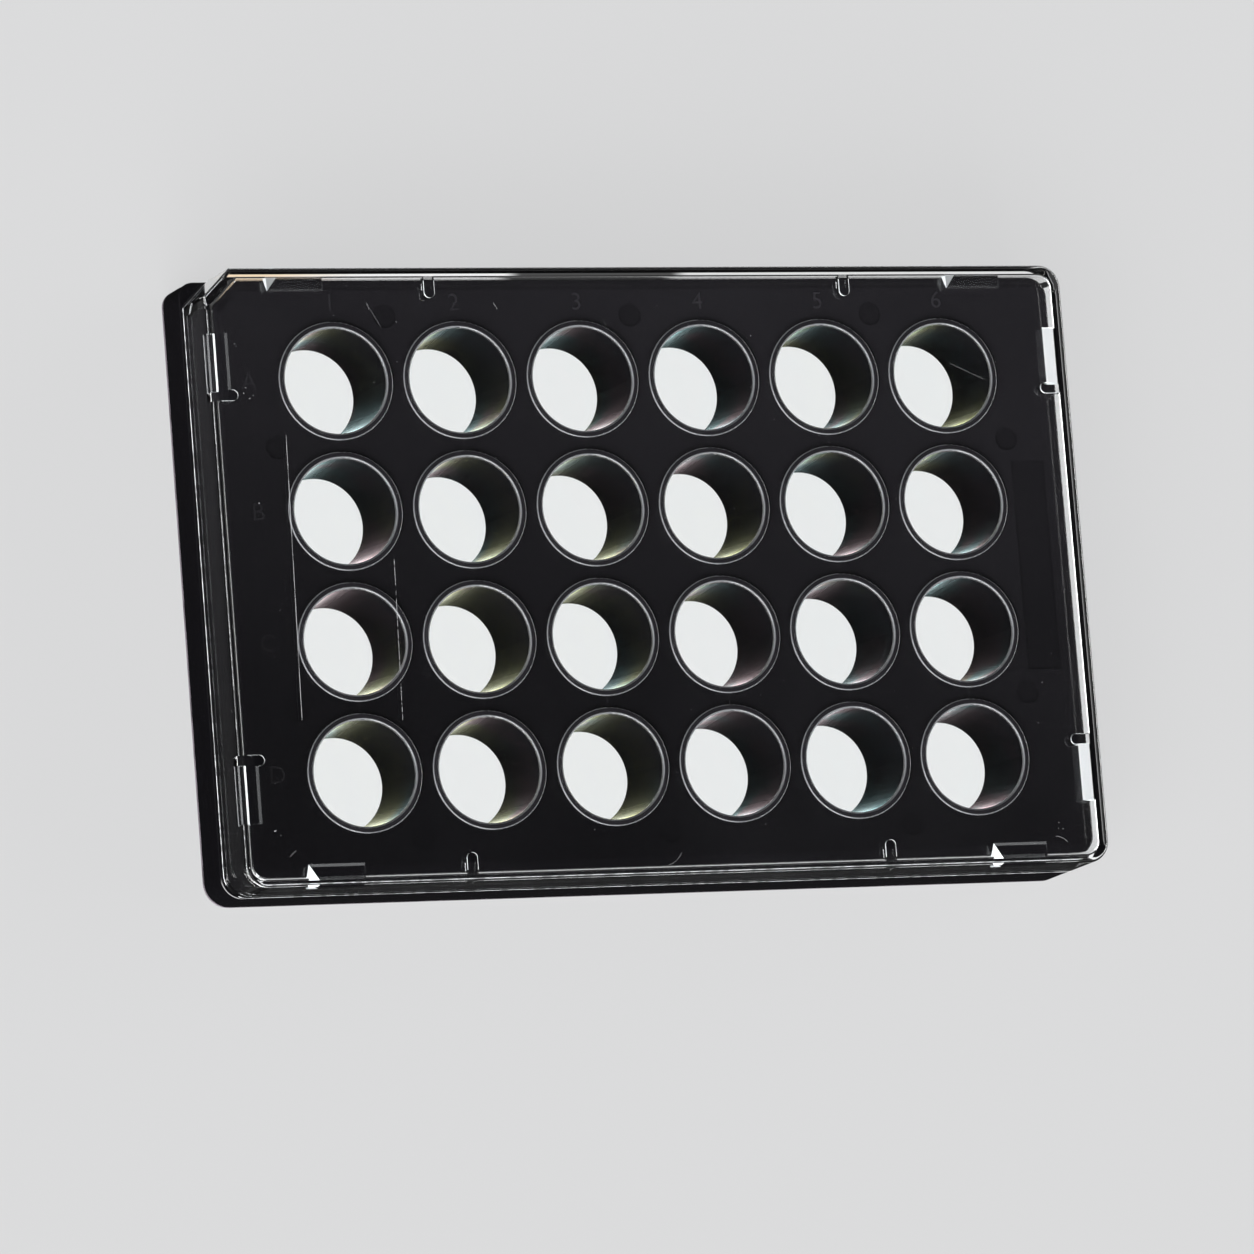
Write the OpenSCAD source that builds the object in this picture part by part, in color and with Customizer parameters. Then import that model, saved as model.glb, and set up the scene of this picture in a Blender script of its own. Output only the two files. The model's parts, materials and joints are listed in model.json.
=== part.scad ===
/* Lidded well plate: a black moulding with round wells, a thin glass sheet that
   closes the wells from below, and a clear lid that rests on the deck. The moulding
   is divided into its wall ring, its deck and its four rows of wells, which meet
   face to face.
   Origin: middle of the foot, on the surface that the plate stands on.
   +X runs along a row of wells, +Y towards row A, +Z out of the wells. */

/* [Footprint] */
// Length of the foot
foot_l = 127.76; // [124:0.01:154]
// Width of the foot
foot_w = 85.48; // [84:0.01:104]
// Height of the skirt, up to its ledge
skirt_h = 7.1; // [5.5:0.1:8]
// Corner radius of the skirt
skirt_r = 3.4; // [2.5:0.1:4.8]
// Tighter corner radius of the skirt beside well A1
skirt_a1_r = 2.4; // [1.6:0.1:3.4]
// Wall thickness of the skirt
skirt_t = 1.4; // [1:0.1:2]

/* [Upper body] */
// Height of the deck above the foot
deck_h = 15; // [13:0.1:20]
// Thickness of the deck
deck_t = 1.4; // [1:0.1:2.5]
// Width of the ledge between the skirt and the upper body
ledge_w = 1.4; // [1.2:0.1:2.4]
// Wall thickness of the upper body
body_t = 1.7; // [1.4:0.1:2.2]
// Corner radius of the upper body
body_r = 3; // [2.6:0.1:4]
// Leg of the chamfer beside well A1
body_chamfer = 4; // [3:0.1:5]
// Width of the sloping shoulder round the deck
shoulder_w = 1.5; // [1:0.1:1.7]
// Height lost across the shoulder
shoulder_drop = 0.3; // [0.15:0.05:0.5]

/* [Wells] */
// Number of columns
cols = 6; // [2:1:6]
// Distance between well centres
pitch = 18; // [17:0.1:18.2]
// Outer diameter of the raised rim
rim_d = 16.46; // [15.5:0.01:17]
// Height of the rim above the deck
rim_rise = 0.4; // [0.2:0.05:1]
// Inner diameter of the well at its mouth
mouth_d = 14.6; // [12:0.1:15.4]
// Inner diameter of the well at the glass
floor_d = 13.44; // [11:0.01:14.2]
// Height of the glass seat above the foot
seat_h = 3; // [2:0.1:5]

/* [Glass] */
// Thickness of the glass sheet
glass_t = 0.17; // [0.13:0.01:1.1]
// Glass beyond the outermost wells
glass_margin = 2.4; // [2:0.01:2.6]
// Space round the edge of the glass
glass_gap = 0.2; // [0.1:0.05:0.5]

/* [Lid] */
// Thickness of the top of the lid
lid_top_t = 1.2; // [0.8:0.1:2]
// Thickness of the side walls of the lid
lid_wall_t = 1.1; // [0.8:0.05:1.25]
// Height of the lid over all
lid_h = 8.85; // [6:0.05:9.5]
// Space between the rims and the lid
lid_space = 0.75; // [0.4:0.05:1.5]
// Step in from the skirt to the lid at its open edge
lid_step = 0.13; // [0.05:0.01:0.3]
// Leg of the chamfer over well A1
lid_chamfer = 4; // [3:0.1:6]
// Width of a spacer rib
rib_w = 1.5; // [1:0.1:2.5]
// Reach of a spacer rib over the deck
rib_over = 1.25; // [0.75:0.05:2]
// Length of a centring ramp
ramp_l = 8; // [4:0.1:10]
// Reach of a centring ramp over the deck
ramp_over = 0.3; // [0.1:0.05:0.6]

/* [Hidden] */

draft = 1;              // lean of every moulded wall, in degrees
cut = 1;                // how far a cutting tool runs past a face
lap = 0.5;              // how far a rib runs into the wall it joins
round_fn = 64;          // any count above 12 gives a true curve

// Upper body, measured where it stands on the ledge
body_l = foot_l - 2 * ledge_w;
body_w = foot_w - 2 * ledge_w;
deck_edge = 0.3;
skirt_edge = 0.35;
corner_l = 20;          // side of the block that carries the tighter corner
shoulder_in = shoulder_w + deck_h * tan(draft);
deck_rim = 0.1;         // least width of the flat that the walls leave round the deck

// Wells
mouth_r = mouth_d / 2;
floor_r = floor_d / 2;
rim_r = rim_d / 2;
rim_top = deck_h + rim_rise;
rim_edge = min(0.24, rim_rise / 2);
mouth_edge = 0.3;
bore_lean = atan((mouth_r - floor_r) / (rim_top - seat_h));
web_t = 1.2;
rows = 4;               // one node each
col_x = [for (i = [0 : cols - 1]) (i - (cols - 1) / 2) * pitch];
row_y = [for (j = [0 : rows - 1]) ((rows - 1) / 2 - j) * pitch];

// Deck plate, inside the upper walls
under_deck = deck_h - deck_t;
deck_in = max(body_t + under_deck * tan(draft), shoulder_in + deck_rim);

// Shallow marks that the mould leaves on the deck: ejector pins and a sunk panel
mark_deep = 0.1;
pin_d = 3.3;
pin_off = -1.2;
panel_l = 29.6;
panel_w = 5;
panel_off = 0.4;

// Glass and its pocket
glass_l = (cols - 1) * pitch + floor_d + 2 * glass_margin;
glass_w = (rows - 1) * pitch + floor_d + 2 * glass_margin;
glass_r = 1;
lip_t = 1;
lip_drop = 0.3;         // the lip ends this far below the glass
seat_w = 1.2;
lip_z = seat_h - glass_t - lip_drop;

// Lid
lid_z1 = rim_top + lid_space + lid_top_t;
lid_z0 = lid_z1 - lid_h;
lid_l = foot_l - 2 * lid_step;
lid_w = foot_w - 2 * lid_step;
lid_r = skirt_r - lid_step;
lid_edge = 0.6;
lid_inner_edge = 0.5;
under_z = lid_z1 - lid_top_t;
inner_l = lid_l - 2 * lid_wall_t;
inner_w = lid_w - 2 * lid_wall_t;
ramp_drop = 0.4;        // the ramps reach this far below the deck
rib_x = 30.8;
rib_y = 25;
ramp_x = 50.3;
ramp_y = 29.6;

black = [0.08, 0.08, 0.09];
clear = [0.85, 0.92, 0.95, 0.35];
glass = [0.75, 0.92, 0.88, 0.5];

// ---- shared sections -------------------------------------------------------

// Whole microns, so that faces of neighbouring solids meet exactly
function mm(v) = round(v * 1000) / 1000;
function mm_under(v) = floor(v * 1000) / 1000;

// Centre of the round top edge of a leaning side: inward from the foot, and up. The top
// may slope down to the round; slope = [where it starts, inward from the foot; angle].
function round_z(h, edge, slope) =
    mm((h - edge / cos(slope[1]) - tan(slope[1]) * (slope[0] - edge / cos(draft)))
       / (1 - tan(slope[1]) * tan(draft)));
function round_in(z, edge) = mm(z * tan(draft) + edge / cos(draft));

// A point of the round, at an angle from its level, that lies just inside it
function on_round(edge, angle) = [mm_under(edge * cos(angle)), mm_under(edge * sin(angle))];

// From the foot of a leaning side, past its round edge, to the end of the slope
function side_points(w, h, edge, slope) =
    let (z = round_z(h, edge, slope), c = [w - round_in(z, edge), z])
    concat([[w, 0], c + on_round(edge, draft), c, c + on_round(edge, 90 - slope[1])],
           slope[1] > 0 ? [[mm(w - slope[0]), h]] : []);

// Half section of a moulded block: flat foot, a side that leans in, a round top edge
module half_section(w, h, edge, back = 0, slope = [0, 0]) {
    side = side_points(w, h, edge, slope);
    polygon(concat([[-back, 0]], side, [[-back, h]]));
    translate(side[2]) circle(r = edge, $fn = round_fn);
}

// Both halves of that section
module section(w, h, edge, slope) {
    side = side_points(w, h, edge, slope);
    polygon(concat(side, [for (i = [len(side) - 1 : -1 : 0]) [-side[i][0], side[i][1]]]));
    for (s = [-1, 1]) translate([s * side[2][0], side[2][1]]) circle(r = edge, $fn = round_fn);
}

// Block with round corners, leaning sides and a round top edge
module block(l, w, r, h, edge, slope = [0, 0]) {
    hl = mm(l / 2);
    hw = mm(w / 2);
    translate([r - hl, 0, 0]) rotate([90, 0, 90]) linear_extrude(2 * (hl - r))
        section(hw, h, edge, slope);
    translate([0, hw - r, 0]) rotate([90, 0, 0]) linear_extrude(2 * (hw - r))
        section(hl, h, edge, slope);
    for (x = [r - hl, hl - r], y = [r - hw, hw - r])
        translate([x, y, 0]) rotate_extrude($fn = round_fn) half_section(r, h, edge, 0, slope);
}

// The same block with the corner beside well A1 cut off at 45 degrees
module cut_block(l, w, r, h, edge, leg, slope = [0, 0]) {
    reach = mm((l / 2 + w / 2 - leg) / sqrt(2));
    intersection() {
        block(l, w, r, h, edge, slope);
        rotate([0, 0, 135]) translate([0, l, 0]) rotate([90, 0, 0])
            linear_extrude(2 * l) half_section(reach, h, edge, l, slope);
    }
}

// Flat outline with round corners
module outline(l, w, r) {
    square([l - 2 * r, w], center = true);
    square([l, w - 2 * r], center = true);
    for (x = [r - l / 2, l / 2 - r], y = [r - w / 2, w / 2 - r])
        translate([x, y]) circle(r = r, $fn = round_fn);
}

module at_wells() {
    for (x = col_x, y = row_y) translate([x, y, 0]) children();
}

// ---- black moulding: wall ring ---------------------------------------------

// Room for the deck plate: the same outline, cut at the corner beside well A1
module deck_outline() {
    l = mm(body_l - 2 * deck_in);
    w = mm(body_w - 2 * deck_in);
    reach = mm((l / 2 + w / 2 - body_chamfer) / sqrt(2));
    intersection() {
        outline(l, w, mm(body_r - body_t));
        rotate(45) translate([-l, -l]) square([2 * l, l + reach]);
    }
}

// Skirt, ledge and upper walls, open from below and above
module shell() {
    difference() {
        union() {
            block(foot_l, foot_w, skirt_r, skirt_h, skirt_edge);
            translate([(corner_l - foot_l) / 2, (foot_w - corner_l) / 2, 0])
                block(corner_l, corner_l, skirt_a1_r, skirt_h, skirt_edge);
            cut_block(body_l, body_w, body_r, deck_h, deck_edge, body_chamfer,
                      [shoulder_in, atan(shoulder_drop / shoulder_w)]);
        }
        translate([0, 0, -cut])
            block(foot_l - 2 * skirt_t, foot_w - 2 * skirt_t, skirt_r - skirt_t,
                  skirt_h - skirt_t + cut, skirt_edge);
        translate([0, 0, -cut])
            cut_block(body_l - 2 * body_t, body_w - 2 * body_t, body_r - body_t,
                      under_deck + cut, deck_edge, body_chamfer);
        translate([0, 0, under_deck]) linear_extrude(deck_t + cut) deck_outline();
    }
}

// Wall round the glass, with a seat inside and a lip that guards the edge
module seat_wall() {
    out_l = glass_l + 2 * (glass_gap + lip_t);
    out_w = glass_w + 2 * (glass_gap + lip_t);
    difference() {
        translate([0, 0, lip_z]) linear_extrude(under_deck - lip_z)
            outline(out_l, out_w, glass_r + glass_gap + lip_t);
        translate([0, 0, lip_z - cut]) linear_extrude(deck_h)
            outline(glass_l - 2 * seat_w, glass_w - 2 * seat_w, glass_r);
        translate([0, 0, seat_h - deck_h]) linear_extrude(deck_h)
            outline(glass_l + 2 * glass_gap, glass_w + 2 * glass_gap, glass_r + glass_gap);
        at_wells() well_body();
    }
}

// Ribs from the glass wall out to the upper walls, which end where they meet a well
module outer_ribs() {
    h = under_deck - skirt_h;
    x0 = glass_l / 2 + glass_gap;
    y0 = glass_w / 2 + glass_gap;
    x1 = body_l / 2 - body_t + lap - deck_h * tan(draft);
    y1 = body_w / 2 - body_t + lap - deck_h * tan(draft);
    difference() {
        union() {
            for (s = [0, 1], y = row_y)
                mirror([s, 0, 0]) translate([x0, y - web_t / 2, skirt_h])
                    cube([x1 - x0, web_t, h]);
            for (s = [0, 1], x = col_x)
                mirror([0, s, 0]) translate([x - web_t / 2, y0, skirt_h])
                    cube([web_t, y1 - y0, h]);
        }
        at_wells() well_body();
    }
}

module plate_frame() {
    color(black) {
        shell();
        seat_wall();
        outer_ribs();
    }
}

// ---- black moulding: deck ----------------------------------------------------

module deck_marks() {
    for (x = [-2 * pitch, 0, 2 * pitch], y = [-2 * pitch, 2 * pitch])
        translate([x + pin_off, y, deck_h - mark_deep])
            cylinder(h = cut, d = pin_d, $fn = round_fn);
    for (x = [-3 * pitch, 3 * pitch], y = [-pitch, pitch])
        translate([x, y, deck_h - mark_deep]) cylinder(h = cut, d = pin_d, $fn = round_fn);
    translate([3 * pitch + panel_off, -panel_l / 2, deck_h - mark_deep])
        cube([panel_w, panel_l, cut]);
}

module deck() {
    color(black) difference() {
        translate([0, 0, under_deck]) linear_extrude(deck_t) deck_outline();
        at_wells() translate([0, 0, under_deck - cut])
            cylinder(h = deck_t + 2 * cut, r = rim_r, $fn = round_fn);
        deck_marks();
    }
}

// ---- black moulding: rows of wells -------------------------------------------

// A well before it is hollowed: a drafted wall below the deck and a rim above it
module well_body() {
    foot_r = mm(rim_r - (under_deck - seat_h) * tan(draft));
    rotate_extrude($fn = round_fn) {
        polygon([
            [0, seat_h], [foot_r, seat_h], [rim_r, under_deck], [rim_r, deck_h], [0, deck_h]
        ]);
        translate([0, deck_h]) half_section(rim_r, rim_rise, rim_edge);
    }
}

// The hollow of a well: the draughted bore and its round mouth
module bore() {
    cz = rim_top - mouth_edge;
    side = [mm_under(mouth_edge * cos(bore_lean)), mm_under(mouth_edge * sin(bore_lean))];
    cx = mm(floor_r + (cz - seat_h) * tan(bore_lean) + mouth_edge / cos(bore_lean));
    below = mm(floor_r - cut * tan(bore_lean));
    rotate_extrude($fn = round_fn) difference() {
        polygon([
            [0, seat_h - cut], [below, seat_h - cut], [cx - side[0], cz + side[1]],
            [cx, cz], [cx, rim_top + cut], [0, rim_top + cut]
        ]);
        translate([cx, cz]) circle(r = mouth_edge, $fn = round_fn);
    }
}

// Webs along the row, and half way to the rows beside it
module webs(j) {
    h = under_deck - seat_h;
    reach_up = j > 0 ? pitch / 2 : 0;
    reach_down = j < rows - 1 ? pitch / 2 : 0;
    translate([col_x[0], -web_t / 2, seat_h]) cube([(cols - 1) * pitch, web_t, h]);
    for (x = col_x)
        translate([x - web_t / 2, -reach_down, seat_h]) cube([web_t, reach_up + reach_down, h]);
}

// One row of wells, counted from row A
module well_row(j) {
    color(black) translate([0, row_y[j], 0]) difference() {
        union() {
            for (x = col_x) translate([x, 0, 0]) well_body();
            webs(j);
        }
        for (x = col_x) translate([x, 0, 0]) bore();
    }
}

// ---- glass -----------------------------------------------------------------

module glass_bottom() {
    color(glass) translate([0, 0, seat_h - glass_t])
        linear_extrude(glass_t) outline(glass_l, glass_w, glass_r);
}

// ---- lid -------------------------------------------------------------------

// Spacer rib on a side wall at +X: it rests on the deck
module spacer_rib(wall_x, flat_x) {
    tip = flat_x - rib_over;
    h = under_z + lap - deck_h;
    translate([tip + rib_w / 2, -rib_w / 2, deck_h])
        cube([wall_x + lap - tip - rib_w / 2, rib_w, h]);
    translate([tip + rib_w / 2, 0, deck_h]) cylinder(h = h, d = rib_w, $fn = round_fn);
}

// Ramp on a side wall at +X: it slides the lid to the middle as it comes down
module ramp(wall_x, flat_x) {
    tip = flat_x - ramp_over;
    foot_z = deck_h - ramp_drop;
    translate([0, ramp_l / 2, 0]) rotate([90, 0, 0]) linear_extrude(ramp_l)
        polygon([
            [tip, under_z + lap], [tip, under_z], [wall_x, foot_z],
            [wall_x + lap, foot_z], [wall_x + lap, under_z + lap]
        ]);
}

// Both kinds of lug on the four sides
module lugs() {
    top_lean = lid_h * tan(draft);
    wall_x = inner_l / 2 - top_lean;
    wall_y = inner_w / 2 - top_lean;
    flat_x = body_l / 2 - shoulder_in;
    flat_y = body_w / 2 - shoulder_in;
    for (m = [0, 1], y = [-rib_y, rib_y])
        mirror([m, 0, 0]) translate([0, y, 0]) spacer_rib(wall_x, flat_x);
    for (a = [90, 270], x = [-rib_x, rib_x])
        translate([x, 0, 0]) rotate([0, 0, a]) spacer_rib(wall_y, flat_y);
    for (m = [0, 1], y = [-ramp_y, ramp_y])
        mirror([m, 0, 0]) translate([0, y, 0]) ramp(wall_x, flat_x);
    for (a = [90, 270], x = [-ramp_x, ramp_x])
        translate([x, 0, 0]) rotate([0, 0, a]) ramp(wall_y, flat_y);
}

module lid() {
    color(clear) {
        difference() {
            translate([0, 0, lid_z0]) cut_block(lid_l, lid_w, lid_r, lid_h, lid_edge, lid_chamfer);
            translate([0, 0, lid_z0 - cut])
                cut_block(inner_l + 2 * cut * tan(draft), inner_w + 2 * cut * tan(draft),
                          lid_r - lid_wall_t, lid_h - lid_top_t + cut, lid_inner_edge,
                          lid_chamfer);
        }
        lugs();
    }
}

plate_frame();
deck();
well_row(0);  // well_row_a
well_row(1);  // well_row_b
well_row(2);  // well_row_c
well_row(3);  // well_row_d
glass_bottom();
lid();
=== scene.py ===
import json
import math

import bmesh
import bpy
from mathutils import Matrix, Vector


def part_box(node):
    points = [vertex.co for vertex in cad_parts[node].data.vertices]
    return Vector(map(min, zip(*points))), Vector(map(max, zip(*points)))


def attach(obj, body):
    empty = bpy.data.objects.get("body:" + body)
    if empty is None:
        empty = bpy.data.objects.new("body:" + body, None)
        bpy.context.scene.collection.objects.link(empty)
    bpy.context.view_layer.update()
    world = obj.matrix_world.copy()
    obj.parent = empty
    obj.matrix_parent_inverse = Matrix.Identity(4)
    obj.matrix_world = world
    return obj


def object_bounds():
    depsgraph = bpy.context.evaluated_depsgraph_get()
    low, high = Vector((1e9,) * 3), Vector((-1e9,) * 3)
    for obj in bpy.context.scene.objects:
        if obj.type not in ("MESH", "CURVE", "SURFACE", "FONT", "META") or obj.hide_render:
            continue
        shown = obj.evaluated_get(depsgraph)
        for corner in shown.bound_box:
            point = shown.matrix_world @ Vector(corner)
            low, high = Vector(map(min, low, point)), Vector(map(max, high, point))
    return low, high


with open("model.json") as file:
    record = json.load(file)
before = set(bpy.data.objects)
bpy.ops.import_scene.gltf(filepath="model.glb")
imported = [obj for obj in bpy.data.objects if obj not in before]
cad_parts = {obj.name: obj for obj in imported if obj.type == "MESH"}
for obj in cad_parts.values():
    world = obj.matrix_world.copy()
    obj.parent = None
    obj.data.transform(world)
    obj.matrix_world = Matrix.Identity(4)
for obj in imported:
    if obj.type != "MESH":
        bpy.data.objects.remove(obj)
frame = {"nodes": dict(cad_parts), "record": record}
# %% [markdown]
# # A lidded well plate
# The plate is a black moulding with 24 round wells, a sheet of thin glass bonded
# below it, and a clear lid that lies on the deck. The loaded model already has their
# exact shapes, with the moulding divided into its wall ring, its deck and its four
# rows of wells. This lesson gives them their finishes, adds the raised letters and
# numbers and the dust on the lid, and sets up camera and light. Lengths are in
# metres. The grid and the heights are worked out from the loaded pieces. Scratches,
# dust, the camera and the strips of light on the floor are written as numbers, and
# those, like the colours, were chosen.

cad_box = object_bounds()
MM = 0.001
nodes = frame["nodes"]
row_names = ["well_row_a", "well_row_b", "well_row_c", "well_row_d"]
_, deck_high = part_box("deck")
_, row_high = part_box(row_names[0])
lid_low, lid_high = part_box("lid")
deck_top = deck_high.z
rim_top = row_high.z
print("deck top", deck_top, "rim top", rim_top, "lid top", lid_high.z)

# %% [markdown]
# The record lists the space inside every well as a box. The middle of each box is a
# well's axis, so the grid is read from there: sorted columns, sorted rows and the
# pitch between them. A row's box ends where its outermost rims end, which gives the
# rims' radius.

# %% The grid of wells
wells = frame["record"]["physics"]["openings"]


def middle(well, axis):
    low, high = well["box_m"]
    return round((low[axis] + high[axis]) / 2, 5)


columns = sorted({middle(well, 0) for well in wells})
rows = sorted({middle(well, 1) for well in wells}, reverse=True)
pitch = columns[1] - columns[0]
rim_radius = row_high.x - columns[-1]
print(len(columns), "columns,", len(rows), "rows, pitch", round(pitch / MM, 3), "mm,",
      "rim radius", round(rim_radius / MM, 3), "mm")

# %% [markdown]
# ## Writing a finish as arithmetic
# A procedural finish is mostly arithmetic on coordinates: how far a point is from a
# well's axis, whether it lies on a scratch, how light or rough it is there. Wiring
# Math nodes by hand hides that. The two small classes below let a finish be written
# as plain Python: Sock wraps a node's output and turns + - * / and comparisons into
# Math nodes, and Paint owns one material and has a single method for any node.

# %% Sock and Paint
class Sock:
    """The output of a shader node, which takes part in sums and comparisons."""

    def __init__(self, paint, out):
        self.paint = paint
        self.out = out

    def math(self, operation, *others):
        return self.paint.node("ShaderNodeMath", {"operation": operation}, [self, *others])

    def __add__(self, other):
        return self.math("ADD", other)

    __radd__ = __add__

    def __sub__(self, other):
        return self.math("SUBTRACT", other)

    def __rsub__(self, other):
        return (self * -1.0) + other

    def __mul__(self, other):
        return self.math("MULTIPLY", other)

    __rmul__ = __mul__

    def __truediv__(self, other):
        return self.math("DIVIDE", other)

    def __pow__(self, other):
        return self.math("POWER", other)

    def __lt__(self, other):
        return self.math("LESS_THAN", other)

    def __gt__(self, other):
        return self.math("GREATER_THAN", other)

    def __abs__(self):
        return self.math("ABSOLUTE")


class Paint:
    """One material, built node by node."""

    def __init__(self, name, owner=None):
        self.material = owner or bpy.data.materials.new(name)
        self.material.use_nodes = True
        self.tree = self.material.node_tree
        self.tree.nodes.clear()

    def node(self, kind, settings=None, inputs=(), output=0):
        made = self.tree.nodes.new(kind)
        for name, value in (settings or {}).items():
            setattr(made, name, value)
        pairs = inputs.items() if isinstance(inputs, dict) else enumerate(inputs)
        for key, value in pairs:
            if isinstance(value, Sock):
                self.tree.links.new(value.out, made.inputs[key])
            else:
                made.inputs[key].default_value = value
        return Sock(self, made.outputs[output]) if made.outputs else None

    def place(self):
        """The x, y and z of a point of the piece, in metres."""
        point = self.node("ShaderNodeTexCoord", output="Object")
        self.point = point
        return [self.node("ShaderNodeSeparateXYZ", {}, [point], output=i) for i in range(3)]

    def noise(self, scale, detail=2.0, rough=0.5):
        inputs = {"Vector": self.point, "Scale": scale, "Detail": detail,
                  "Roughness": rough}
        return self.node("ShaderNodeTexNoise", {}, inputs)

    def ramp(self, value, start, end, low=0.0, high=1.0):
        """A soft step: low before start, high after end."""
        inputs = {"Value": value, "From Min": start, "From Max": end,
                  "To Min": low, "To Max": high}
        return self.node("ShaderNodeMapRange", {"interpolation_type": "SMOOTHSTEP"}, inputs)

    def blend(self, share, first, second):
        """A colour between two colours."""
        inputs = {0: share, 6: first, 7: second}
        return self.node("ShaderNodeMix", {"data_type": "RGBA"}, inputs, output=2)

    def bump(self, height, distance, strength):
        inputs = {"Height": height, "Distance": distance, "Strength": strength}
        return self.node("ShaderNodeBump", {}, inputs)

    def plastic(self, **inputs):
        named = {key.replace("_", " ").title().replace("Ior", "IOR"): value
                 for key, value in inputs.items()}
        return self.node("ShaderNodeBsdfPrincipled", {}, named)

    def mix(self, share, first, second):
        return self.node("ShaderNodeMixShader", {}, [share, first, second])

    def light_path(self, name):
        return self.node("ShaderNodeLightPath", output=name)

    def finish(self, surface):
        self.node("ShaderNodeOutputMaterial", {}, {"Surface": surface})
        print("made finish", self.material.name, "with", len(self.tree.nodes), "nodes")
        return self.material


print("Sock and Paint are ready")

# %% [markdown]
# ## The black moulding
# Black polystyrene takes on the surface of the mould. The deck and the walls come off
# a fine-ground face and are satin. Where two streams of plastic meet between two
# wells of a column, a faint straight line stays on the deck. `x / pitch` wrapped to
# one cell gives all those lines at once, one along the axis of each column.

# %% Finish of deck and walls
BLACK = (0.0026, 0.0024, 0.0031, 1.0)
# The lighter black that wear and the painted sheen blend towards.
WORN_AND_SHEEN = (0.0150, 0.0138, 0.0165, 1.0)
FOOT_HIGHLIGHT = (0.17, 0.15, 0.17, 1.0)
POLYSTYRENE = 1.59                    # how strongly it bends light
FLUSH = 0.02 * MM                     # this near the deck's top counts as level with it
DECK_SKIN = 0.2 * MM                  # this far below its top is still the deck's face
MARK_EDGE = 0.03 * MM                 # depth at which a pin mark's painted shade begins
MARK_FLOOR = 0.09 * MM                # depth at which the painted shade is darkest
FOOT_HIGHLIGHT_HEIGHT = 0.55 * MM              # how far up the foot is painted pale, a painted highlight
WELD_CORE = 0.04 * MM                 # half width of a flow line's full tone
WELD_EDGE = 0.16 * MM                 # half width at which it has faded out


def cell_offset(value):
    """How far a point is from the middle of its grid cell, from -0.5 to 0.5 pitches."""
    return (value / pitch).math("FLOORED_MODULO", 1.0) - 0.5


def painted_sheen(paint, x, y):
    """A painted sheen on the deck: 0 beside row D, growing to 1 beside row A."""
    return paint.ramp(y + x * 0.25, -2.4 * pitch, 2.6 * pitch)


def satin_black():
    paint = Paint("satin_black")
    x, y, z = paint.place()
    skin = deck_top - DECK_SKIN
    on_deck = paint.ramp(z, skin, deck_top - FLUSH)
    between = (abs(y) < 1.5 * pitch) * (abs(x) < 3 * pitch)
    from_line = abs(cell_offset(x)) * pitch
    weld = paint.ramp(from_line, WELD_CORE, WELD_EDGE, 1.0, 0.0) * between * on_deck
    flow = paint.noise(45.0, 4.0, 0.6)
    grain = paint.noise(2400.0, 2.0, 0.6)
    rubbed = paint.ramp(paint.noise(16.0, 3.0, 0.6), 0.5, 0.75)
    # Painted sheen: the deck is painted lighter towards row A, standing in for the light it
    # mirrors there.
    deck_sheen = painted_sheen(paint, x, y)
    near_wells = (abs(x) < 3.4 * pitch) * (abs(y) < 2.15 * pitch)
    below_deck = paint.ramp(z, deck_top - MARK_FLOOR, deck_top - MARK_EDGE, 1.0, 0.0)
    # Painted shade: the pits of the pin marks are painted darker.
    shaded_pits = below_deck * (z > skin) * near_wells
    # Painted shade: below half the deck's height the lighter black is mostly taken away, so the
    # skirt is painted darker than the deck.
    shaded_skirt = z < deck_top / 2.0
    # Real flow marks, rubbing and flow lines, plus the painted sheen.
    wear_and_sheen = flow * 0.16 + rubbed * 0.12 + weld * 0.2 + deck_sheen * 0.72
    tone = paint.blend(wear_and_sheen * (1.0 - shaded_pits * 0.35) * (1.0 - shaded_skirt * 0.9), BLACK, WORN_AND_SHEEN)
    # Painted highlight: the lowest part of the foot is painted pale in broken patches, standing
    # in for the bright line along the plate's lower edge.
    foot_highlight = (z < FOOT_HIGHLIGHT_HEIGHT) * paint.ramp(paint.noise(220.0, 2.0), 0.3, 0.6, 0.5, 1.0)
    tone = paint.blend(foot_highlight, tone, FOOT_HIGHLIGHT)
    roughness = 0.10 + flow * 0.05 + rubbed * 0.06 + weld * 0.12
    relief = paint.bump(grain + weld * 3.0, 0.003 * MM, 0.5)
    return paint.finish(paint.plastic(
        base_color=tone, roughness=roughness, ior=POLYSTYRENE, normal=relief))


satin = satin_black()
for name in ("plate_frame", "deck"):
    nodes[name].data.materials.clear()
    nodes[name].data.materials.append(satin)

# %% [markdown]
# The wells need a finish of their own. Their bores look nearly black, and they gleam
# only where they are looked along. Layer Weight measures that: its Facing output
# grows towards 1 at a grazing view, and a power of it chooses between a dull and a
# glossy shader. The clear lid above is strained, and strained plastic can show
# rainbow tints. They aren't worked out here: the gleam has a tint that changes by
# noise, so it differs between wells. The rims are polished, and their two sharp
# edges are painted pale, a painted highlight for the thin light lines they catch.
# The rest of each rim takes the lighter black, a painted sheen.

# %% Painted rim highlights and tint
RIM_WIDTH = 0.93 * MM                 # from a well's mouth to the outside of its rim
EDGE_HIGHLIGHT = (0.20, 0.20, 0.21, 1.0)
YELLOW_TINT = (0.95, 0.97, 0.42, 1.0)
BLUE_TINT = (0.45, 0.86, 0.88, 1.0)
PINK_TINT = (1.0, 0.66, 0.72, 1.0)


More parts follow.
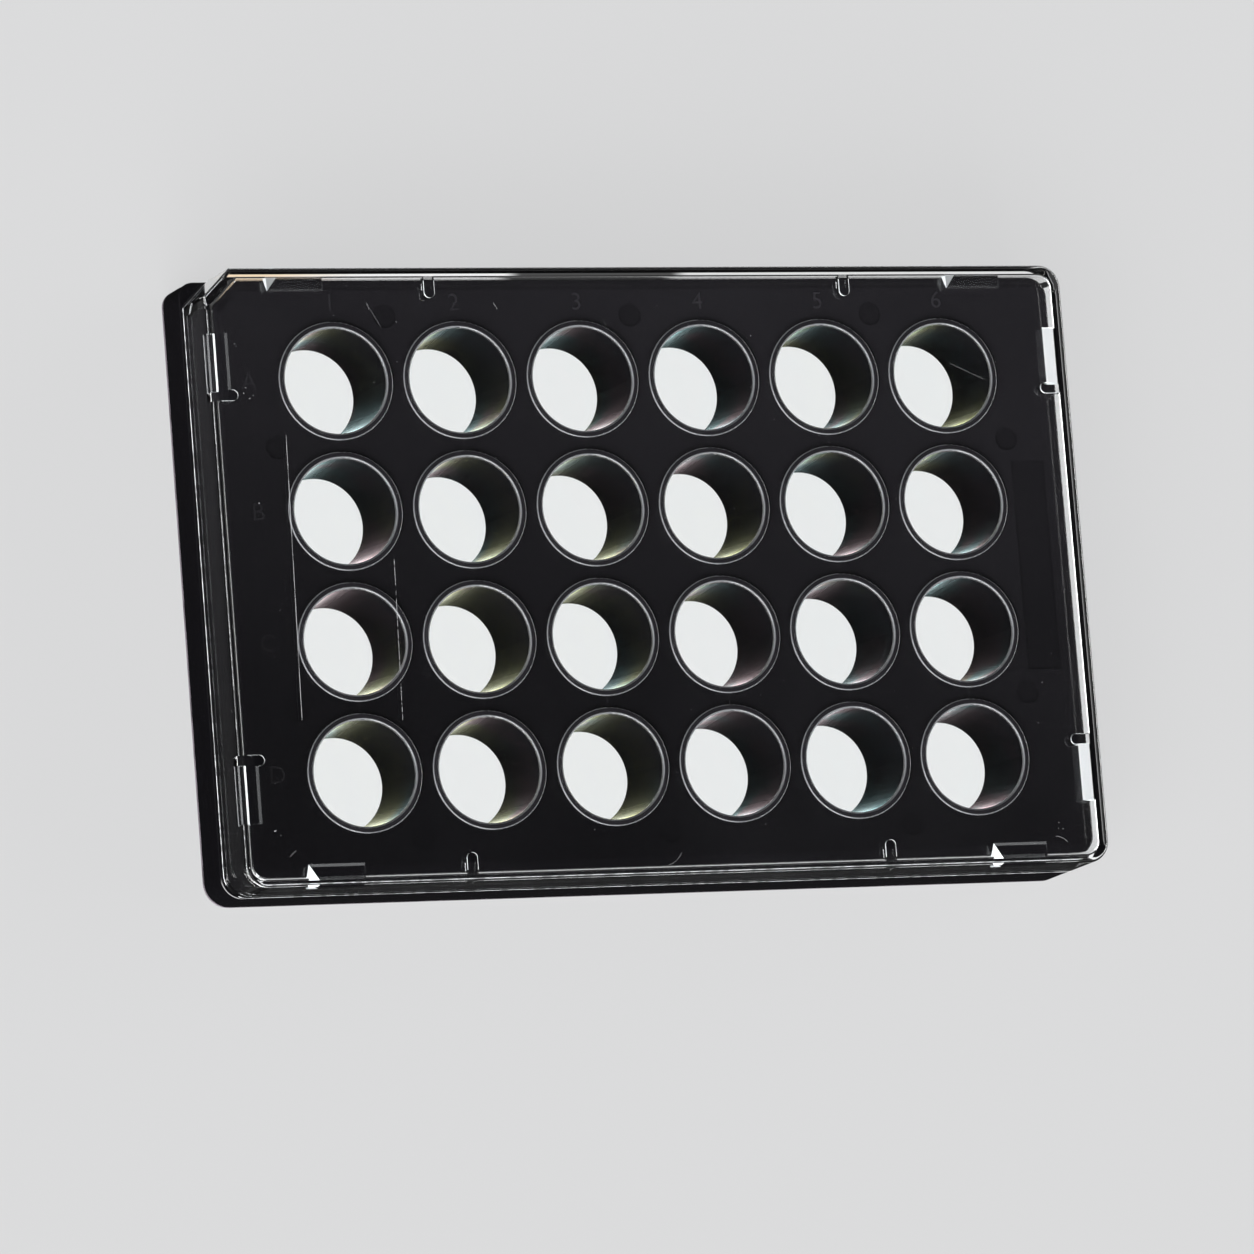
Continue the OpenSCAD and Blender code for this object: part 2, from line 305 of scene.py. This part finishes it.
def rim_edge_highlight(paint, from_axis, z):
    """Where the painted highlight goes: 1 on the inner and the outer edge of a rim, 0 between
    them and below.
    """
    mouth = rim_radius - RIM_WIDTH
    near_top = paint.ramp(z, rim_top - 0.26 * MM, rim_top - 0.06 * MM)
    outer = paint.ramp(from_axis, rim_radius - 0.20 * MM, rim_radius - 0.08 * MM)
    inner = paint.ramp(from_axis, mouth + 0.12 * MM, mouth + 0.28 * MM, 1.0, 0.0)
    return ((outer + inner) * near_top).math("MINIMUM", 1.0)


def strain_tint(paint, flow):
    """Yellow, blue or pink, changing slowly over the plate."""
    yellow_to_blue = paint.ramp(paint.noise(38.0, 1.0), 0.44, 0.56)
    tint = paint.blend(yellow_to_blue, YELLOW_TINT, BLUE_TINT)
    return paint.blend(paint.ramp(flow, 0.50, 0.60), tint, PINK_TINT)


print("a well's mouth has the radius", round((rim_radius - RIM_WIDTH) / MM, 3), "mm")

# %% Finish of the wells
def well_black():
    paint = Paint("well_black")
    x, y, z = paint.place()
    dx = cell_offset(x)
    dy = cell_offset(y)
    from_axis = (dx * dx + dy * dy).math("SQRT") * pitch
    below_mouth = paint.ramp(z, rim_top - 0.5 * MM, rim_top - 0.3 * MM, 1.0, 0.0)
    in_bore = below_mouth * (from_axis < rim_radius - 0.5 * MM)
    grain = paint.noise(1800.0, 2.0, 0.6)
    flow = paint.noise(60.0, 3.0, 0.6)
    # Painted highlight on a rim's two edges; the rest of the rim takes the lighter black, a
    # painted sheen.
    tone = paint.blend(rim_edge_highlight(paint, from_axis, z), WORN_AND_SHEEN, EDGE_HIGHLIGHT)
    polished = paint.plastic(base_color=tone, roughness=0.08 + flow * 0.04, ior=POLYSTYRENE)
    dull = paint.plastic(
        base_color=BLACK, roughness=0.55 + flow * 0.1, ior=POLYSTYRENE,
        specular_ior_level=0.005, normal=paint.bump(grain, 0.004 * MM, 0.6))
    gleam = paint.plastic(base_color=strain_tint(paint, flow), metallic=1.0, roughness=0.1)
    facing = paint.node("ShaderNodeLayerWeight", {}, {"Blend": 0.5}, output="Facing")
    lower_side = paint.ramp(dy, -0.2, 0.25, 1.0, 0.6)
    grazing = ((facing ** 15.0) * lower_side * 2.8).math("MINIMUM", 1.0)
    bounced = (paint.light_path("Glossy Depth") > 0.5) * 0.8
    bore = paint.mix(grazing.math("MAXIMUM", bounced), dull, gleam)
    return paint.finish(paint.mix(in_bore, polished, bore))


well_finish = well_black()
for name in row_names:
    nodes[name].data.materials.clear()
    nodes[name].data.materials.append(well_finish)

# %% [markdown]
# ## The glass bottom
# A cover-glass sheet is clear and polished. Light for the floor and the wells has to
# pass through it without waiting for rare refracted paths, so its shadow rays meet a
# transparent shader instead, and so do diffuse rays. The Light Path node tells the
# kinds of ray apart.

# %% Finish of the glass
def let_light_through(paint, surface, tint):
    shadow = paint.light_path("Is Shadow Ray")
    diffuse = paint.light_path("Is Diffuse Ray")
    clear = paint.node("ShaderNodeBsdfTransparent", {}, {"Color": tint})
    return paint.mix(shadow.math("MAXIMUM", diffuse), surface, clear)


def bottom_glass():
    paint = Paint("bottom_glass")
    surface = paint.plastic(base_color=(0.975, 0.99, 0.985, 1.0), roughness=0.0,
                            ior=1.52, transmission_weight=1.0)
    return paint.finish(let_light_through(paint, surface, (0.96, 0.98, 0.975, 1.0)))


nodes["glass_bottom"].data.materials.clear()
nodes["glass_bottom"].data.materials.append(bottom_glass())

# %% [markdown]
# ## The clear lid
# The lid is clear polystyrene, which bends light more than glass does, so its edges
# flash. Handling has left long parallel scratches and short ones on its top. Each
# scratch is a thin band round a line or an arc, and on it the clear shader gives way
# to a matt one that catches the light.
#
# Inside, spacer ribs and centring ramps are moulded on. Light crosses a ramp through
# so many faces that few sampled paths find their way, and it renders as grain. Most
# of a ramp is therefore a plain transparent shader, and a pale matt one, a painted
# highlight, stands in where a real ramp flashes: at its root, at one end, and all
# over the two ramps beside column 6. From the side those two look whiter than real
# ones would.

# %% Scratches on the lid
def broken_up(paint):
    """Fine patches from 0 to 1, which break a line into dashes."""
    return paint.ramp(paint.noise(900.0, 1.0), 0.42, 0.5)


def scratch_mask(paint, x, y):
    """Above 0 on a scratch and 0 beside it. Lengths here are in millimetres."""
    wobble = (paint.noise(120.0) - 0.5) * 0.5 * MM

    def band(off, width):
        return paint.ramp(off, width * 0.4 * MM, width * MM, 1.0, 0.0)

    def line(x0, y0, x1, y1, width):
        """A straight scratch from one point to another."""
        length = math.hypot(x1 - x0, y1 - y0)
        ux, uy = (x1 - x0) / length, (y1 - y0) / length
        px, py = x - x0 * MM, y - y0 * MM
        along = px * ux + py * uy
        off = abs(px * -uy + py * ux + wobble * 0.12)
        return band(off, width) * (along > 0.0) * (along < length * MM)

    def arc(cx, cy, radius, width, angle, span):
        """A curved scratch round a centre. Its angles are in radians."""
        px, py = x - cx * MM, y - cy * MM
        off = abs((px * px + py * py).math("SQRT") - radius * MM + wobble)
        turned = px * math.cos(angle) + py * math.sin(angle)
        return band(off, width) * (turned > radius * MM * math.cos(span))

    faint = paint.ramp(paint.noise(260.0, 2.0), 0.35, 0.65, 0.35, 1.0)
    broken = broken_up(paint)
    return (line(-53.3, 19.3, -54.0, -19.8, 0.06) * faint
            + line(-39.1, 2.6, -39.6, -20.1, 0.05) * broken * 0.8
            + line(-40.4, 37.5, -38.5, 34.1, 0.04) * broken * 0.25
            + line(-21.9, 37.4, -21.4, 36.5, 0.05) * 0.5
            + line(45.6, 28.4, 50.6, 26.1, 0.04) * 0.35
            + arc(-10.0, 33.0, 4.5, 0.04, 0.4, 0.35) * broken * 0.2)


print("scratches are ready")

# %% [markdown]
# The places with the painted highlight are found by their distance from the lid's
# sides, its underside and the deck. The lid has two ramps on each side. Those on the
# short sides are 29.6 mm from the middle of the side, those on the long sides 50.3 mm,
# and each is 8 mm long. The open edge of the lid's wall gets the painted highlight
# too, beside column 1 and row D and at corner A1, because it catches light there.

# %% Ramps and painted highlights
LID_SHEET = 1.2 * MM                  # thickness of the lid's top
HAIR = 0.004 * MM                     # keeps a mask off the face that it ends at
SHORT_SIDE_RAMP = 29.6 * MM           # from a side's middle to a ramp's middle
LONG_SIDE_RAMP = 50.3 * MM
RAMP_HALF = 4.0 * MM                  # half a ramp's length
RAMP_OUTER = 1.25 * MM                # a ramp lies from this far inside the lid's side
RAMP_INNER = 3.4 * MM                 # to this far
ROOT_INSET = 1.9 * MM                 # the painted highlights at the roots begin this far inside the side
FOOT_WIDTH = 0.3 * MM                 # of the painted highlight along the wall's open edge
FOOT_HEIGHT = 0.22 * MM
lid_under = lid_high.z - LID_SHEET
chamfer_line = lid_high.x + lid_high.y     # y - x at the corner A1, if it were square


def ramp_masks(x, y, z):
    """1 on the ramps of the short sides, and 1 on the ramps of the long sides."""
    hanging = (z < lid_under - HAIR) * (z > deck_top - 0.45 * MM)

    def mask(along, across, middle, side):
        beside = abs(abs(along) - middle) < RAMP_HALF + 0.05 * MM
        depth = (abs(across) > side - RAMP_INNER) * (abs(across) < side - RAMP_OUTER)
        return beside * depth * hanging

    return (mask(y, x, SHORT_SIDE_RAMP, lid_high.x), mask(x, y, LONG_SIDE_RAMP, lid_high.y))


def painted_flash_share(paint, x, y, z, short_ramps, long_ramps):
    """How strongly the lid is painted with pale highlights, from 0 to 0.9."""
    inside = (abs(x) < lid_high.x - ROOT_INSET) * (abs(y) < lid_high.y - ROOT_INSET)
    root = (z > lid_under - 0.28 * MM) * (z < lid_under - HAIR) * inside
    at_chamfer = (y - x > chamfer_line - 9.8 * MM) * (x < -58.9 * MM)
    root = root * (1.0 - at_chamfer)
    from_end = x + (x > 0.0) * (-2.0 * LONG_SIDE_RAMP) + (LONG_SIDE_RAMP + RAMP_HALF)
    slant = (abs(y) - (lid_high.y - 3.3 * MM)) * 0.85
    ramp_end = (from_end < slant) * long_ramps
    by_deck = (z < deck_top - FLUSH) * (z > deck_top - DECK_SKIN)
    seam = short_ramps * (x < 0.0) * by_deck
    bright_face = short_ramps * (x > 0.0)
    open_edge = ((x < FOOT_WIDTH - lid_high.x) + (y < FOOT_WIDTH - lid_high.y)
                 + (y - x > chamfer_line - 4.4 * MM))
    foot = (z < lid_low.z + FOOT_HEIGHT) * open_edge
    facing = paint.node("ShaderNodeLayerWeight", {}, {"Blend": 0.5}, output="Facing")
    share = (root * (0.85 - (short_ramps + long_ramps) * 0.79) + ramp_end * 0.8
             + seam * paint.ramp(facing, 0.03, 0.08, 0.15, 0.8)
             + bright_face * 0.85 + foot * (0.3 + broken_up(paint) * 0.5))
    return share.math("MINIMUM", 0.9)


print("the lid's underside is at", round(lid_under, 5), "and a ramp is", 2 * RAMP_HALF, "long")

# %% [markdown]
# The finish lays these over each other: the clear body with its scratches, then the
# plain transparent ramps, then the painted highlights.

# %% Finish of the clear moulding
def clear_moulding():
    paint = Paint("clear_moulding")
    x, y, z = paint.place()
    on_top = z > lid_high.z - 0.05 * MM
    scratched = (scratch_mask(paint, x, y) * on_top).math("MINIMUM", 1.0)
    short_ramps, long_ramps = ramp_masks(x, y, z)
    body = paint.plastic(base_color=(0.985, 0.99, 0.99, 1.0), roughness=0.0,
                         ior=POLYSTYRENE, transmission_weight=1.0)
    scuff = paint.plastic(base_color=(0.75, 0.76, 0.78, 1.0), roughness=0.5)
    # Painted highlight: a pale matt shader standing in for the flashes of the ramps and edges.
    painted_flash = paint.plastic(base_color=(0.9, 0.92, 0.94, 1.0), roughness=0.4)
    straight = paint.node("ShaderNodeBsdfTransparent", {}, {"Color": (0.9, 0.91, 0.92, 1.0)})
    surface = paint.mix(scratched * 0.55, body, scuff)
    surface = paint.mix((short_ramps * (x < 0.0) + long_ramps) * 0.95, surface, straight)
    surface = paint.mix(painted_flash_share(paint, x, y, z, short_ramps, long_ramps), surface, painted_flash)
    return paint.finish(let_light_through(paint, surface, (0.93, 0.94, 0.94, 1.0)))


nodes["lid"].data.materials.clear()
nodes["lid"].data.materials.append(clear_moulding())

# %% [markdown]
# ## Raised letters and numbers
# The deck carries a letter before each row and a number above each column, raised by
# a few hundredths of a millimetre and as black as the deck, so they hardly show. Each
# one is a text curve that is made a mesh at the origin. Only then is the mesh moved
# to its place, so that the finished piece keeps its object at the origin like every
# other piece.

# %% Letters and numbers
def evaluated_mesh(name, data):
    """A plain mesh of a curve or of an object's data, made at the origin."""
    holder = bpy.data.objects.new(name, data)
    bpy.context.scene.collection.objects.link(holder)
    graph = bpy.context.evaluated_depsgraph_get()
    mesh = bpy.data.meshes.new_from_object(holder.evaluated_get(graph))
    bpy.data.objects.remove(holder)
    return mesh


def raised_mark(text, x, y, height=2.4 * MM, rise=0.05 * MM):
    curve = bpy.data.curves.new("mark_" + text, "FONT")
    curve.body = text
    curve.size = height / 0.7
    curve.align_x, curve.align_y = "CENTER", "CENTER"
    curve.extrude = rise * 0.6
    curve.resolution_u = 4
    mesh = evaluated_mesh("mark_" + text, curve)
    mesh.transform(Matrix.Translation((x, y, deck_top + rise * 0.4)))
    return mesh


def add_piece(name, meshes, material):
    """One piece of several meshes, which rides on the plate."""
    whole = bmesh.new()
    for mesh in meshes:
        whole.from_mesh(mesh)
    made = bpy.data.meshes.new(name)
    whole.to_mesh(made)
    whole.free()
    made.materials.clear()
    made.materials.append(material)
    piece = bpy.data.objects.new(name, made)
    bpy.context.scene.collection.objects.link(piece)
    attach(piece, "root")
    print(name, "has", len(made.polygons), "faces")
    return piece


def mark_black():
    paint = Paint("mark_black")
    x, y, _ = paint.place()
    # Painted sheen: like the deck, the marks are painted lighter towards row A.
    tone = paint.blend(painted_sheen(paint, x, y), (0.0048, 0.0044, 0.0054, 1.0),
                       (0.0195, 0.0180, 0.0215, 1.0))
    return paint.finish(paint.plastic(base_color=tone, roughness=0.25, ior=POLYSTYRENE))


NUMBERS_OFF = 10.8 * MM               # from the wells of row A to the numbers
LETTERS_OFF = 12.4 * MM               # from the wells of column 1 to the letters
mark_line_y = rows[0] + NUMBERS_OFF
mark_line_x = columns[0] - LETTERS_OFF
marks = [raised_mark(str(i + 1), x, mark_line_y) for i, x in enumerate(columns)]
marks += [raised_mark("ABCD"[j], mark_line_x, y) for j, y in enumerate(rows)]
add_piece("letters_and_numbers", marks, mark_black())

# %% [markdown]
# ## Dust on the lid
# Dust gathers in a few places. A small node group scatters specks over flat patches:
# it puts points on the faces, sets a small ball on every point at a random size and
# turn, and ends as a plain mesh with its material. Density, size and seed are the
# group's named inputs, and the modifier sets them by each socket's identifier.

# %% Scatter group
def scatter_group(material):
    group = bpy.data.node_groups.new("scatter", "GeometryNodeTree")
    sockets = {"Patches": "NodeSocketGeometry", "Density": "NodeSocketFloat",
               "Size": "NodeSocketFloat", "Seed": "NodeSocketInt"}
    for name, kind in sockets.items():
        group.interface.new_socket(name, in_out="INPUT", socket_type=kind)
    group.interface.new_socket("Specks", in_out="OUTPUT", socket_type="NodeSocketGeometry")
    names = ("NodeGroupInput", "GeometryNodeDistributePointsOnFaces", "GeometryNodeMeshIcoSphere",
             "FunctionNodeRandomValue", "FunctionNodeRandomValue", "GeometryNodeInstanceOnPoints",
             "GeometryNodeRealizeInstances", "GeometryNodeSetMaterial", "NodeGroupOutput")
    given, spread, ball, sizes, turns, place, real, paint, result = (
        group.nodes.new(name) for name in names)
    ball.inputs["Subdivisions"].default_value = 1
    sizes.data_type = turns.data_type = "FLOAT_VECTOR"
    sizes.inputs["Min"].default_value = (0.4, 0.4, 0.1)
    sizes.inputs["Max"].default_value = (1.3, 1.0, 0.3)
    turns.inputs["Min"].default_value = (0.0, 0.0, 0.0)
    turns.inputs["Max"].default_value = (0.0, 0.0, math.tau)
    paint.inputs["Material"].default_value = material
    links = [(given.outputs["Patches"], spread.inputs["Mesh"]),
             (given.outputs["Density"], spread.inputs["Density"]),
             (given.outputs["Seed"], spread.inputs["Seed"]),
             (given.outputs["Size"], ball.inputs["Radius"]),
             (spread.outputs["Points"], place.inputs["Points"]),
             (ball.outputs["Mesh"], place.inputs["Instance"]),
             (turns.outputs["Value"], place.inputs["Rotation"]),
             (sizes.outputs["Value"], place.inputs["Scale"]),
             (place.outputs["Instances"], real.inputs["Geometry"]),
             (real.outputs["Geometry"], paint.inputs["Geometry"]),
             (paint.outputs["Geometry"], result.inputs["Specks"])]
    for source, target in links:
        group.links.new(source, target)
    return group


def scattered(patches, group, **values):
    """A plain mesh of specks over square patches, each given as x, y and half its side."""
    corners, faces = [], []
    for x, y, half in patches:
        faces.append(tuple(range(len(corners), len(corners) + 4)))
        corners += [((x + i * half) * MM, (y + j * half) * MM, lid_high.z)
                    for i, j in ((-1, -1), (1, -1), (1, 1), (-1, 1))]
    sheet = bpy.data.meshes.new("patches")
    sheet.from_pydata(corners, [], faces)
    holder = bpy.data.objects.new("patches", sheet)
    bpy.context.scene.collection.objects.link(holder)
    modifier = holder.modifiers.new("scatter", "NODES")
    modifier.node_group = group
    for item in group.interface.items_tree:
        if item.in_out == "INPUT" and item.name in values:
            modifier[item.identifier] = values[item.name]
    graph = bpy.context.evaluated_depsgraph_get()
    mesh = bpy.data.meshes.new_from_object(holder.evaluated_get(graph))
    holder.modifiers.remove(modifier)
    bpy.data.objects.remove(holder)
    return mesh


# %% Specks and fibres
def fibre(x0, y0, x1, y1, bow, radius=0.012 * MM, steps=8):
    """A short hair on the lid from one place to another, bowed to one side, in millimetres."""
    curve = bpy.data.curves.new("fibre", "CURVE")
    curve.dimensions = "3D"
    curve.bevel_depth = radius
    curve.bevel_resolution = 1
    curve.use_fill_caps = True
    spline = curve.splines.new("POLY")
    spline.points.add(steps)
    length = math.hypot(x1 - x0, y1 - y0)
    for i, point in enumerate(spline.points):
        t = i / steps
        side = bow * 4.0 * t * (1.0 - t) / length
        x = x0 + (x1 - x0) * t - (y1 - y0) * side
        y = y0 + (y1 - y0) * t + (x1 - x0) * side
        point.co = (x * MM, y * MM, lid_high.z, 1.0)
    return evaluated_mesh("fibre", curve)


def pale_dust():
    paint = Paint("pale_dust")
    paint.place()
    tone = paint.blend(paint.noise(900.0, 1.0), (0.38, 0.37, 0.38, 1.0), (0.52, 0.53, 0.56, 1.0))
    return paint.finish(paint.plastic(base_color=tone, roughness=0.9))


dust_finish = pale_dust()
scatter = scatter_group(dust_finish)
dense_patches = [(-59.6, 31.8, 0.6), (-58.1, 25.0, 0.9), (-57.4, 9.4, 0.6), (57.2, -13.0, 0.2),
                 (55.0, -17.4, 0.5), (56.6, -37.2, 0.8), (-58.6, -35.2, 0.8)]
dusty = scattered(dense_patches, scatter, Density=1.2e6, Size=0.085 * MM, Seed=7)
stray_patches = [(-22.0, 0.0, 37.0), (22.0, 0.0, 37.0)]
stray = scattered(stray_patches, scatter, Density=6.0e3, Size=0.05 * MM, Seed=11)
fibres = [fibre(-57.1, -38.3, -56.2, -37.5, 0.05), fibre(55.5, -38.7, 57.2, -39.5, 0.2),
          fibre(-2.6, -41.0, -0.6, -39.3, -0.3), fibre(-40.4, 37.5, -40.0, 36.6, 0.02)]
add_piece("dust_on_lid", [dusty, stray] + fibres, dust_finish)

# %% [markdown]
# ## Camera
# The camera looks down on the plate from the side of column 1 and row D, from far
# enough away that the rims hardly converge. It is set by angles round the plate and
# a roll, so each of them can be changed by itself.

# %% Camera
def look(azimuth, elevation, roll, distance, target):
    a, e = math.radians(azimuth), math.radians(elevation)
    back = Vector((math.sin(a) * math.cos(e), -math.cos(a) * math.cos(e), math.sin(e)))
    across = Vector((math.cos(a), math.sin(a), 0.0))
    upward = back.cross(across)
    turn = Matrix((across, upward, back)).transposed().to_4x4()
    spin = Matrix.Rotation(math.radians(roll), 4, "Z")
    return Matrix.Translation(target + back * distance) @ turn @ spin


camera = bpy.data.cameras.new("camera")
camera.lens = 239.1
camera.sensor_width = 36.0
camera_object = bpy.data.objects.new("camera", camera)
camera_object.matrix_world = look(
    azimuth=-67.83, elevation=66.84, roll=64.93, distance=1.143,
    target=Vector((-5.24 * MM, -7.67 * MM, rim_top)))
bpy.context.scene.collection.objects.link(camera_object)
bpy.context.scene.camera = camera_object
print("camera at", camera_object.location)

# %% [markdown]
# ## Floor, air and lamp
# The floor is plain and pale, and the Light Path node lets it answer each kind of ray
# in its own way. The camera finds a floor that is mostly self-lit, so that it stays
# pale, and matt enough to keep the plate's shadow. Through the wells it would be
# dark, because the plate shades it, so rays that came only through clear pieces find
# its plain pale colour. Rays that also met a glossy face find it bright below the
# wells and dim elsewhere. Along the side of row A a strip of it is golden to white,
# which lights the edge of the lid there. Rays sent by a glossy face alone find it
# dark, except beyond the sides of row A and column 6, where light would come in.

# %% Light of the floor
WHITE = (1.0, 1.0, 1.0, 1.0)
GOLDEN = (1.0, 0.80, 0.58, 1.0)
NO_LIGHT = (0.0, 0.0, 0.0, 1.0)
ROW_A_SIDE = 42.5 * MM                # y, close to the plate's side beside row A
STRIP_START = 44.0 * MM               # y at which the golden to white strip begins
STRIP_END = -60.5 * MM                # x at which it ends, beside column 1
CORNER_DIM = 98.0 * MM                # y - x past which the floor is dim at corner A1


def floor_glow(paint, level):
    """A light of the floor's own, very slightly blue."""
    colour = (level, level * 1.003, level * 1.01, 1.0)
    return paint.node("ShaderNodeEmission", {}, {"Color": colour})


def lit_strip(paint, x):
    """Golden by column 1, then white, nearly dark by columns 3 and 4, then white again."""
    hue = paint.blend(paint.ramp(x, -52.0 * MM, -34.0 * MM), GOLDEN, WHITE)
    darker = paint.ramp(x, -15.0 * MM, -12.0 * MM, 0.0, 0.92)
    lighter = paint.ramp(x, 10.0 * MM, 13.0 * MM, 0.0, 0.75)
    colour = paint.blend(darker - lighter, hue, NO_LIGHT)
    return paint.node("ShaderNodeEmission", {}, {"Color": colour})


def floor_through_lid(paint, x, y):
    """The floor for rays that passed clear pieces and met no glossy face."""
    on_strip = (y > STRIP_START) * (x > STRIP_END)
    behind = paint.mix(on_strip, floor_glow(paint, 0.03), lit_strip(paint, x))
    direct = paint.mix(y > ROW_A_SIDE, floor_glow(paint, 1.0), behind)
    at_corner = (y - x > CORNER_DIM) * (y < ROW_A_SIDE)
    return paint.mix(at_corner, direct, floor_glow(paint, 0.05))


print("the strip of light begins at y =", STRIP_START)

# %% Floor
SELF_LIT = 0.87                       # how much of the camera's floor is its own light


def floor_finish():
    paint = Paint("floor")
    x, y, _ = paint.place()
    seen = paint.light_path("Is Camera Ray")
    through = paint.light_path("Is Transmission Ray")
    mirrored = paint.light_path("Is Glossy Ray")
    bounced = paint.light_path("Glossy Depth") > 0.5
    matt = paint.node("ShaderNodeBsdfDiffuse", {}, {"Color": (0.5, 0.502, 0.508, 1.0)})
    surface = paint.mix(seen * SELF_LIT, matt, floor_glow(paint, 0.70))
    beyond_column_6 = (x > 62.0 * MM) * (y > -41.0 * MM)
    beyond_row_a = (y > 42.0 * MM) * (x > -61.3 * MM)
    beyond = beyond_column_6.math("MAXIMUM", beyond_row_a)
    around = paint.mix(beyond, floor_glow(paint, 0.012), floor_glow(paint, 1.0))
    surface = paint.mix(mirrored, surface, around)
    below_wells = (paint.ramp(abs(x), 53.0 * MM, 56.0 * MM, 1.0, 0.0)
                   * paint.ramp(abs(y), 35.0 * MM, 38.0 * MM, 1.0, 0.0))
    caught = paint.mix(below_wells, floor_glow(paint, 0.05), floor_glow(paint, 1.5))
    clear = paint.mix(bounced, floor_through_lid(paint, x, y), caught)
    return paint.finish(paint.mix(through, surface, clear))


def floor_plane(size, height):
    mesh = bpy.data.meshes.new("floor")
    half = size / 2
    corners = [(i * half, j * half, height) for i, j in ((-1, -1), (1, -1), (1, 1), (-1, 1))]
    mesh.from_pydata(corners, [], [(0, 1, 2, 3)])
    mesh.materials.append(floor_finish())
    made = bpy.data.objects.new("floor", mesh)
    bpy.context.scene.collection.objects.link(made)
    return made


floor = floor_plane(size=6.0, height=cad_box[0].z - 0.02 * MM)
print("floor at", floor.data.vertices[0].co.z)

# %% [markdown]
# The air is nearly dark overhead, so that flat black faces stay black. Near the
# horizon it has two bright lobes, on the left and on the right. A rim's round edge is
# only a quarter of a millimetre wide and mirrors nearly the whole room, so only
# something very bright draws the thin light line on it, and the lobes do. One soft
# lamp fills the rest. It is placed by its azimuth and elevation and by how bright its
# face is.

# %% Air and lamp
def air():
    world = bpy.data.worlds.new("air")
    bpy.context.scene.world = world
    paint = Paint("air", world)
    direction = paint.node("ShaderNodeTexCoord", output="Generated")
    dx, dy, dz = (paint.node("ShaderNodeSeparateXYZ", {}, [direction], output=i)
                  for i in range(3))
    flat_length = (dx * dx + dy * dy + 0.0001).math("SQRT")

    def lobe(azimuth, wide, narrow):
        """1 towards an azimuth, falling to 0 outside, by the cosine of the angle off it."""
        a = math.radians(azimuth)
        return paint.ramp((dx * math.sin(a) - dy * math.cos(a)) / flat_length, wide, narrow)

    low = paint.ramp(dz, 0.03, 0.16)
    left = lobe(-35.0, 0.6, 0.85) * paint.ramp(dz, 0.5, 0.74, 1.0, 0.0)
    right = lobe(96.0, 0.8, 0.96) * paint.ramp(dz, 0.42, 0.56, 1.0, 0.0)
    everywhere, backdrop = 0.02, 0.62
    soft = paint.ramp(dz, 0.45, 0.7, 0.15, 0.0)
    level = everywhere + low * (soft + left * 12.0 + right * 7.0)
    seen = paint.light_path("Is Camera Ray")
    level = level * (1.0 - seen) + seen * backdrop
    sky = paint.node("ShaderNodeBackground", {}, {"Color": WHITE, "Strength": level})
    paint.node("ShaderNodeOutputWorld", {}, {"Surface": sky})
    print("air is ready")


def lamp(name, azimuth, elevation, distance, size, radiance):
    light = bpy.data.lights.new(name, "AREA")
    light.shape = "RECTANGLE"
    light.size, light.size_y = size
    light.energy = radiance * math.pi * size[0] * size[1]
    made = bpy.data.objects.new(name, light)
    made.matrix_world = look(azimuth, elevation, 0.0, distance, Vector((0.0, 0.0, 0.0)))
    bpy.context.scene.collection.objects.link(made)
    print(name, round(light.energy, 2), "W")


air()
lamp("fill", azimuth=-70.0, elevation=48.0, distance=1.2, size=(0.5, 0.5), radiance=3.0)

# %% Colour view
scene = bpy.context.scene
scene.view_settings.view_transform = "Standard"
